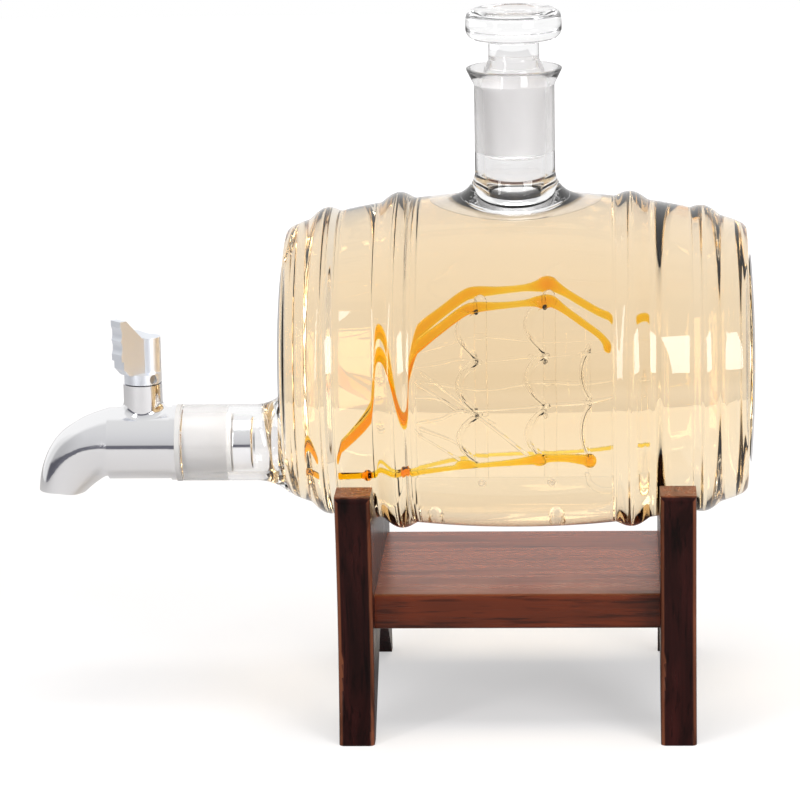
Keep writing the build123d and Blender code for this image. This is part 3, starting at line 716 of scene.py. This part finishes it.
# Stopper: solid glass, ground to fit the neck, with a plain stem and a dished knob.
# It is turned to shape and polished, except for the ground plug.
knob_low, knob_top = 105.9, 115.5
knob_radius = 15.5
stem_radius = 8.2
dish = 1.5
dish_radius = 11.2
stopper_profile = rounded([
    (67.6, 0, 0), (67.6, 9.83, 1.5), (90.1, 10.95, 1.5), (96.5, 9.6, 1.5), (99.4, stem_radius, 1.5),
    (knob_low, stem_radius, 1.5), (knob_low, knob_radius, 3.2), (knob_top, knob_radius, 3.2),
    (knob_top, dish_radius, 0.8),
], 8)
stopper_profile += [(knob_top - dish * (1 - (r / dish_radius) ** 2), r) for r in (10, 8, 6, 4, 2, 0)]
stopper = piece("stopper_glass", spun(stopper_profile, along_z, barrel_middle, tube_steps))
stopper.data.materials.append(clear_glass)
stopper.data.materials.append(ground_glass)
plug_ground_end = 89
plug_end_rim = 9.5
for face in stopper.data.polygons:
    spot = (face.center - barrel_middle) / mm
    if ground_start < spot.z < plug_ground_end and math.hypot(spot.x, spot.y) > plug_end_rim:
        face.material_index = ground_side
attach(stopper, "stopper")
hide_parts("stopper")

# Seals: a soft sleeve in the tube's ground bore and a soft ring behind the tap's flange,
# both of milky silicone.
silicone = bpy.data.materials.new("silicone")
silicone.use_nodes = True
nodes, links = silicone.node_tree.nodes, silicone.node_tree.links
shader = nodes["Principled BSDF"]
place = nodes.new("ShaderNodeTexCoord")
bloom = nodes.new("ShaderNodeTexNoise")
bloom.inputs["Scale"].default_value = 260
links.new(place.outputs["Object"], bloom.inputs["Vector"])
tone = nodes.new("ShaderNodeMix")
tone.data_type = "RGBA"
tone.inputs["A"].default_value = (0.52, 0.51, 0.50, 1)
tone.inputs["B"].default_value = (0.62, 0.61, 0.60, 1)
links.new(bloom.outputs["Fac"], tone.inputs["Factor"])
links.new(tone.outputs["Result"], shader.inputs["Base Color"])
shader.inputs["Roughness"].default_value = 0.5
for name in ("sealing_sleeve", "flange_gasket", "seal_rings"):
    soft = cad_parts[name]
    soft.data.materials.clear()
    soft.data.materials.append(silicone)

# Tap: a cast and chromed body with a turned-down spout and an upright boss for the valve, and
# behind its flange a threaded tail with a round nut. The cast spout reaches a little further
# than its solid does.
chrome = bpy.data.materials.new("chrome")
chrome.use_nodes = True
nodes, links = chrome.node_tree.nodes, chrome.node_tree.links
shader = nodes["Principled BSDF"]
shader.inputs["Metallic"].default_value = 1
shader.inputs["Base Color"].default_value = (0.90, 0.90, 0.91, 1)
place = nodes.new("ShaderNodeTexCoord")
wipe = nodes.new("ShaderNodeTexNoise")
wipe.inputs["Scale"].default_value = 120
wipe.inputs["Detail"].default_value = 4
links.new(place.outputs["Object"], wipe.inputs["Vector"])
shine = nodes.new("ShaderNodeMapRange")
shine.inputs["To Min"].default_value = 0.05
shine.inputs["To Max"].default_value = 0.13
links.new(wipe.outputs["Fac"], shine.inputs["Value"])
links.new(shine.outputs[0], shader.inputs["Roughness"])


def eased(start, end, value):
    """Share from 0 at start to 1 at end, level at both."""
    share = min(max((value - start) / (end - start), 0), 1)
    return share ** 2 * (3 - 2 * share)


def reshaped(node, name, move):
    """Merged copy of a solid's mesh, its corners shifted as move says, in millimetres."""
    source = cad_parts[node].data.copy()
    held = source.attributes.new("solid_normal", "FLOAT_VECTOR", "CORNER")
    normals = [part for normal in source.corner_normals for part in normal.vector]
    held.data.foreach_set("vector", normals)
    shape = bmesh.new()
    shape.from_mesh(source)
    bmesh.ops.remove_doubles(shape, verts=shape.verts, dist=0.0001 * mm)
    for vert in shape.verts:
        vert.co += Vector(move((vert.co - barrel_middle) / mm)) * mm
    thing = piece(name, shape)
    held = thing.data.attributes["solid_normal"]
    thing.data.normals_split_custom_set([tuple(item.vector) for item in held.data])
    thing.data.attributes.remove(thing.data.attributes["solid_normal"])
    thing.data.materials.clear()
    return thing


spout_reach = 3.0
spout_rise = 0.8
elbow_start, elbow_end = -131.5, -143.5
mouth_start, mouth_end = -143, -150


def extend_spout(spot):
    """Shift that carries the elbow and the mouth outwards, and the mouth's rim a little up."""
    out = spout_reach * eased(elbow_start, elbow_end, spot.x)
    return (-out, 0, spout_rise * eased(mouth_start, mouth_end, spot.x))


tap_cast = reshaped("tap_body", "tap_casting", extend_spout)
tap_cast.data.materials.append(chrome)
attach(tap_cast, "tap")
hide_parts("tap_body")
for name in ("tail_nut", "gland_bush", "valve_plug"):
    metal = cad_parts[name]
    metal.data.materials.clear()
    metal.data.materials.append(chrome)

# Key: a base and hub with a grooved thumb wing, cast in one and chromed over a rougher
# surface than the tap's. A small steel screw clamps it on the plug. The wing stands a little
# higher than its solid's.
key_chrome = chrome.copy()
key_chrome.name = "key_chrome"
nodes = key_chrome.node_tree.nodes
nodes["Principled BSDF"].inputs["Base Color"].default_value = (0.86, 0.89, 0.94, 1)
key_shine = [node for node in nodes if node.type == "MAP_RANGE"][0]
key_shine.inputs["To Min"].default_value = 0.34
key_shine.inputs["To Max"].default_value = 0.46
wing_rise = 2.7
wing_root, wing_tip = -121.5, -127.5
wing_bottom = -3.5
wing_height = 14


def raise_wing(spot):
    """Shift that stretches the wing upwards and leaves the hub alone."""
    up = min(max((spot.z - wing_bottom) / wing_height, 0), 1)
    return (0, 0, wing_rise * eased(wing_root, wing_tip, spot.x) * up)


key = reshaped("valve_key", "key_casting", raise_wing)
key.data.materials.append(key_chrome)
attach(key, "valve")
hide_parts("valve_key")
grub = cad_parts["key_grub_screw"]
grub.data.materials.clear()
grub.data.materials.append(screw_steel)

# Ship: lampworked from clear and amber rod and fused to the floor of the barrel before its
# ends were closed. The rods sag between their joints and swell where they were melted. Glass
# in spirit bends light less than in air, so these three have a lower index.
ship_clear = glass("ship_clear", (0.80, 0.70, 0.55), 8.0, index=1.103)
ship_sail = glass("ship_sail", (0.80, 0.70, 0.55), 8.0, index=1.08)
ship_amber = glass("ship_amber", (0.998, 0.89, 0.04), 2000.0, index=1.103)


def smooth_path(corners, steps=8):
    """Points of a smooth path through (x, y, z, radius) corners."""
    spots = [Vector(corner) for corner in corners]
    spots = [spots[0] * 2 - spots[1]] + spots + [spots[-1] * 2 - spots[-2]]
    points = []
    for a, b, c, d in zip(spots, spots[1:], spots[2:], spots[3:]):
        for k in range(steps):
            t = k / steps
            bend = (a * 2 - b * 5 + c * 4 - d) * t ** 2 + (b * 3 - a - c * 3 + d) * t ** 3
            points.append((b * 2 + (c - a) * t + bend) * 0.5)
    return points + [spots[-2]]


def draw_rod(shape, corners, sides=12):
    """Adds a round rod with round ends, thick and thin as its corners say, in millimetres."""
    path = smooth_path(corners)
    tips = []
    for end, inner in ((path[0], path[1]), (path[-1], path[-2])):
        outward = (end - inner).to_3d().normalized() * end.w
        turns = [math.radians(angle) for angle in (30, 55, 75)]
        tips.append([
            Vector((*(end.to_3d() + outward * math.sin(turn)), end.w * math.cos(turn)))
            for turn in turns
        ])
    path = tips[0][::-1] + path + tips[1]
    rings = []
    for before, here, after in zip(path[:1] + path, path, path[1:] + path[-1:]):
        along = (after - before).to_3d().normalized()
        guide = Vector((0, 1, 0)) if abs(along.y) < 0.9 else Vector((1, 0, 0))
        side = along.cross(guide).normalized()
        up = along.cross(side)
        ring = []
        for k in range(sides):
            turn = 2 * math.pi * k / sides
            offset = (side * math.cos(turn) + up * math.sin(turn)) * here.w
            ring.append(shape.verts.new(barrel_middle + (here.to_3d() + offset) * mm))
        rings.append(ring)
    for low, high in zip(rings, rings[1:]):
        for k in range(sides):
            shape.faces.new((low[k], low[k - 1], high[k - 1], high[k]))
    shape.faces.new(rings[0])
    shape.faces.new(rings[-1][::-1])
    bmesh.ops.recalc_face_normals(shape, faces=shape.faces)


def add_drop(shape, place, reach):
    """Adds a drop of melted glass with its three half sizes in millimetres."""
    spread = Matrix.Diagonal((*(Vector(reach) * mm), 1))
    spot = Matrix.Translation(barrel_middle + Vector(place) * mm)
    bmesh.ops.create_icosphere(shape, subdivisions=3, radius=1, matrix=spot @ spread)


def settle(name, shape, node, stuff, melt=0.0):
    """Ship piece that takes a solid's place, melted into one skin where melt gives the grain."""
    thing = piece(name, shape)
    if melt:
        skin = thing.modifiers.new("skin", "REMESH")
        skin.mode = "VOXEL"
        skin.voxel_size = melt * mm
        skin.use_smooth_shade = True
        even = thing.modifiers.new("even", "SMOOTH")
        even.factor = 0.5
        even.iterations = 5
        seen = thing.evaluated_get(bpy.context.evaluated_depsgraph_get())
        data = bpy.data.meshes.new_from_object(seen)
        data.name = name
        thing.modifiers.clear()
        thing.data = data
    thing.data.materials.clear()
    thing.data.materials.append(stuff)
    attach(thing, "barrel")
    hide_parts(node)


# Strands: two rods of amber glass that rise from the bow over the masts and fall to the stern.
# Drops of amber were melted on where they meet the masts.
strands = bmesh.new()
for side in (-1, 1):
    last = (31.6, 11.5, 6.3, 1.15) if side > 0 else (28.7, -11.5, 6.0, 1.2)
    draw_rod(strands, [
        (-58.6, side * 0.7, -24.0, 1.1), (-47.2, side * 3.6, -15.2, 1.35),
        (-40.5, side * 5.6, -6.5, 1.4), (-34.0, side * 7.0, 2.0, 1.5),
        (-28.5, side * 7.0, 6.4, 1.6), (-23.3, side * 6.8, 9.7, 1.45),
        (-16.5, side * 6.3, 13.8, 1.5), (-12.5, side * 6.1, 14.9, 1.45),
        (-5.0, side * 6.1, 15.3, 1.0), (2.6, side * 6.1, 15.9, 0.95),
        (7.2, side * 6.1, 16.4, 1.5), (11.0, side * 6.2, 16.5, 1.6),
        (15.5, side * 7.0, 14.2, 1.1), (20.3, side * 8.0, 11.5, 1.05),
        (26.0, side * 9.8, 8.4, 1.0), last,
    ])
add_drop(strands, (9.6, 6.2, 16.7), (3.6, 2.0, 2.1))
add_drop(strands, (8.8, -6.2, 16.2), (3.2, 1.8, 1.7))
add_drop(strands, (29.0, -11.4, 5.6), (1.9, 1.5, 1.6))
settle("strands_glass", strands, "ship_strands", ship_amber, melt=0.34)

# Rails: an amber rod along each side of the deck. The two run together at the bow into the
# bowsprit, and the near one is drawn thicker.
rails = bmesh.new()
draw_rod(rails, [
    (-58.4, -0.7, -27.8, 0.95), (-46.0, -2.4, -27.6, 0.85), (-33.8, -8.0, -27.0, 0.85),
    (-19.0, -11.0, -25.4, 0.75), (-8.0, -11.4, -24.6, 0.8), (0.0, -11.5, -24.0, 1.0),
    (6.0, -11.0, -23.4, 1.35), (11.0, -10.4, -23.1, 1.1), (16.0, -9.6, -23.2, 1.15),
    (21.8, -8.5, -23.8, 1.5),
])
draw_rod(rails, [
    (-58.4, 0.7, -27.8, 0.9), (-46.0, 2.4, -27.4, 0.7), (-32.0, 8.0, -26.3, 0.55),
    (-20.0, 11.0, -24.7, 0.55), (-8.6, 11.5, -23.8, 0.5), (6.0, 11.4, -23.5, 0.5),
    (19.0, 10.0, -23.0, 0.5), (31.0, 6.8, -21.8, 0.6),
])
add_drop(rails, (-16.0, -10.8, -24.6), (3.4, 1.1, 1.3))
add_drop(rails, (7.0, -10.8, -23.5), (2.8, 1.5, 1.7))
add_drop(rails, (22.6, -8.4, -24.0), (2.2, 1.9, 1.9))
add_drop(rails, (-46.5, 0, -27.6), (1.6, 3.0, 1.4))
settle("rails_glass", rails, "ship_rails", ship_amber, melt=0.32)

# Masts: two thick clear rods with three yards each and a thin one at the stern, all fused
# upright on the hull's deck.
masts = bmesh.new()
for x, top in ((-11.1, 14.2), (10.3, 15.4)):
    draw_rod(masts, [
        (x, 0, -28.2, 2.1), (x, 0, -20.0, 2.0), (x + 0.1, 0, -12.5, 2.1), (x, 0, -5.0, 1.95),
        (x - 0.1, 0, 0.5, 2.1), (x, 0, 8.0, 1.95), (x, 0, top, 2.0),
    ], 24)
    for z in (-12.8, 0.8, top - 0.4):
        draw_rod(masts, [(x - 1.2, -6.7, z, 0.75), (x - 1.6, 0, z, 0.6), (x - 1.2, 6.7, z, 0.75)])
draw_rod(masts, [(22.2, 0, -28.0, 0.45), (22.4, 0, -9.5, 0.5), (22.2, 0, 3.0, 0.45)])
settle("masts_glass", masts, "ship_masts", ship_clear)


# Sails: small sheets of clear glass, softened in the flame and bellied towards the bow. Two
# masts carry three each, and the thin one carries two.
def blow_sail(shape, seat, low, high, depth, half_width):
    """Adds one blown sheet, bellied towards the bow and rounded across, thin in its middle."""
    fullness, curl, narrowing = 0.75, 0.28, 0.20
    thinnest, rim_extra = 0.5, 0.35
    rows, columns = 16, 12
    front, back = [], []
    for i in range(rows + 1):
        up = i / rows
        full = math.sin(math.pi * up)
        for j in range(columns + 1):
            across = 2 * j / columns - 1
            spot = Vector((
                seat - depth * full ** fullness * (1 - curl * across ** 2),
                half_width * across * (1 - narrowing + narrowing * full),
                low + (high - low) * up,
            ))
            rim = max(abs(across), abs(2 * up - 1)) ** 6
            thickness = Vector((thinnest + rim_extra * rim, 0, 0))
            front.append(shape.verts.new(barrel_middle + spot * mm))
            back.append(shape.verts.new(barrel_middle + (spot + thickness) * mm))
    wide = columns + 1
    for i in range(rows):
        for j in range(columns):
            k = i * wide + j
            shape.faces.new((front[k], front[k + 1], front[k + wide + 1], front[k + wide]))
            shape.faces.new((back[k], back[k + wide], back[k + wide + 1], back[k + 1]))
    outline = list(range(wide)) + [(i + 1) * wide + columns for i in range(rows)]
    outline += [rows * wide + columns - 1 - j for j in range(columns)]
    outline += [(rows - 1 - i) * wide for i in range(rows)]
    for k, following in zip(outline, outline[1:]):
        shape.faces.new((front[k], back[k], back[following], front[following]))
    bmesh.ops.recalc_face_normals(shape, faces=shape.faces)


for node, seat, depth, half_width, levels in (
    ("ship_sails_fore", -12.9, 6.2, 6.6, ((-24.6, -13.6), (-12.4, -0.2), (1.3, 13.4))),
    ("ship_sails_main", 8.4, 6.2, 6.6, ((-24.2, -12.0), (-10.8, 1.4), (2.6, 14.8))),
    ("ship_sails_mizzen", 22.3, 3.0, 6.0, ((-24.0, -10.8), (-9.4, 2.8))),
):
    sails = bmesh.new()
    for low, high in levels:
        blow_sail(sails, seat, low, high, depth, half_width)
    settle(node.replace("ship_", "") + "_glass", sails, node, ship_sail)

# Lines: hair-thin clear rods drawn from the stern past the masts to the bow on both sides, with
# a bead of clear glass wherever one touches a yard or another line.
lines = bmesh.new()
thin = 0.42
unevenness = 0.35
for corners in (
    ((-33.0, -6.6, -0.6), (-23.6, -6.6, 0.6), (-17.6, -6.6, 1.5), (-8.4, -6.6, 1.2),
     (1.7, -6.6, 2.0), (21.4, -6.6, 3.0), (30.6, -6.6, 4.4)),
    ((-32.0, -6.6, -14.6), (-23.6, -6.6, -13.4), (-18.0, -6.6, -11.6), (-2.1, -6.6, -11.0),
     (9.9, -6.6, -10.2), (21.6, -6.6, -9.5), (31.0, -6.6, -8.2)),
    ((-29.3, 6.6, 0.6), (-19.8, 6.6, 2.6), (-13.5, 6.6, 4.0), (-2.1, 6.6, 3.5),
     (9.0, 6.6, 2.7), (30.8, 6.6, 3.2)),
    ((-31.5, 6.6, -6.0), (-19.8, 6.6, -7.9), (-8.0, 6.6, -8.7), (6.2, 6.6, -7.0),
     (19.5, 6.6, -7.4), (30.8, 6.6, -6.6)),
    ((-32.6, -6.0, -4.0), (-18.6, -6.2, -10.8), (-12.0, -6.6, -13.0), (3.2, -6.8, -22.5)),
    ((-29.3, 6.0, -4.6), (-16.0, 6.2, -12.4), (-7.0, 6.6, -16.6)),
    ((-33.0, -6.0, -16.4), (-26.0, -7.0, -19.6), (-18.0, -8.0, -23.5)),
    ((-30.0, 6.0, -17.4), (-20.0, 7.0, -20.4), (-15.0, 8.0, -23.6)),
    ((-32.4, -6.0, -8.2), (-24.5, -6.2, -8.4), (-18.5, -6.4, -11.2)),
):
    swell = [thin * (1 + unevenness * math.sin(2.1 * k + corners[0][2])) for k in range(len(corners))]
    draw_rod(lines, [(*corner, width) for corner, width in zip(corners, swell)], 8)
for place in (
    (-11.4, -6.8, 0.9), (-11.4, -6.8, -12.4), (9.6, -6.8, 2.4), (9.6, -6.8, -10.3),
    (21.8, -6.6, -9.4), (21.6, -6.6, 3.0), (-30.5, -6.4, -4.6), (-30.2, -6.4, -17.6),
    (-11.4, 6.8, 3.9), (9.6, 6.8, -7.2),
):
    add_drop(lines, place, (0.95, 0.8, 0.75))
settle("lines_glass", lines, "ship_lines", ship_clear)

# Posts: clear rods that stand on the stern and carry the ends of the strands, with a short
# curved one for the rudder.
posts = bmesh.new()
draw_rod(posts, [
    (31.4, 11.4, 5.6, 0.8), (31.4, 9.6, -6.0, 0.75), (31.3, 6.4, -20.0, 0.8),
    (31.0, 2.0, -28.0, 0.8),
])
draw_rod(posts, [
    (29.6, -11.0, 4.8, 0.7), (31.2, -9.4, 1.0, 0.7), (31.2, -6.6, -12.0, 0.75),
    (31.0, -2.0, -27.0, 0.8),
])
draw_rod(posts, [
    (21.6, -4.6, -27.6, 0.7), (22.6, -4.4, -30.0, 0.8), (26.0, -4.0, -31.6, 0.85),
    (30.2, -3.6, -31.6, 0.85), (31.4, -3.2, -28.6, 0.8),
])
settle("posts_glass", posts, "ship_posts", ship_clear)

# Hull: a gather of clear glass, pressed flat on top and drawn out to a point at the bow and
# the stern. Its ribs are the rings of half beam and keel below.
hull = bmesh.new()
deck = -28.1
hull_sides = 28
squareness = 0.45
flare_out = 0.16
rings = []
for x, half_beam, keel in (
    (-45.6, 0.8, -31.0), (-43.5, 2.2, -32.6), (-39.0, 5.0, -34.6), (-31.0, 8.6, -36.0),
    (-19.0, 11.2, -36.6), (-6.0, 12.0, -36.7), (8.0, 11.2, -36.7), (19.0, 8.8, -36.4),
    (26.5, 5.8, -35.6), (30.4, 3.0, -33.6), (31.6, 1.2, -31.4),
):
    ring = []
    for k in range(hull_sides):
        turn = 2 * math.pi * k / hull_sides
        out, up = math.cos(turn), math.sin(turn)
        out = math.copysign(abs(out) ** squareness, out)
        up = math.copysign(abs(up) ** squareness, up)
        beam = half_beam * out * (1 - flare_out + flare_out * up)
        spot = Vector((x, beam, (deck + keel) / 2 + (deck - keel) / 2 * up))
        ring.append(hull.verts.new(barrel_middle + spot * mm))
    rings.append(ring)
for low, high in zip(rings, rings[1:]):
    for k in range(hull_sides):
        hull.faces.new((low[k], low[k - 1], high[k - 1], high[k]))
hull.faces.new(rings[0])
hull.faces.new(rings[-1][::-1])
bmesh.ops.recalc_face_normals(hull, faces=hull.faces)
bmesh.ops.subdivide_edges(hull, edges=hull.edges, cuts=1, smooth=0.4, use_grid_fill=True)
settle("hull_glass", hull, "ship_hull", ship_clear)

# Struts: four short clear rods that hold the hull above the barrel's floor, melted wider at
# both ends.
struts = bmesh.new()
for x, floor in ((-26.0, -50.6), (12.0, -51.5)):
    for y in (-6, 6):
        draw_rod(struts, [
            (x, y, floor + 2.4, 2.4), (x, y, floor + 4.5, 1.6), (x, y, -43.5, 1.5),
            (x, y, -40.0, 2.1), (x, y, -38.8, 2.6),
        ], 20)
settle("struts_glass", struts, "ship_struts", ship_clear)
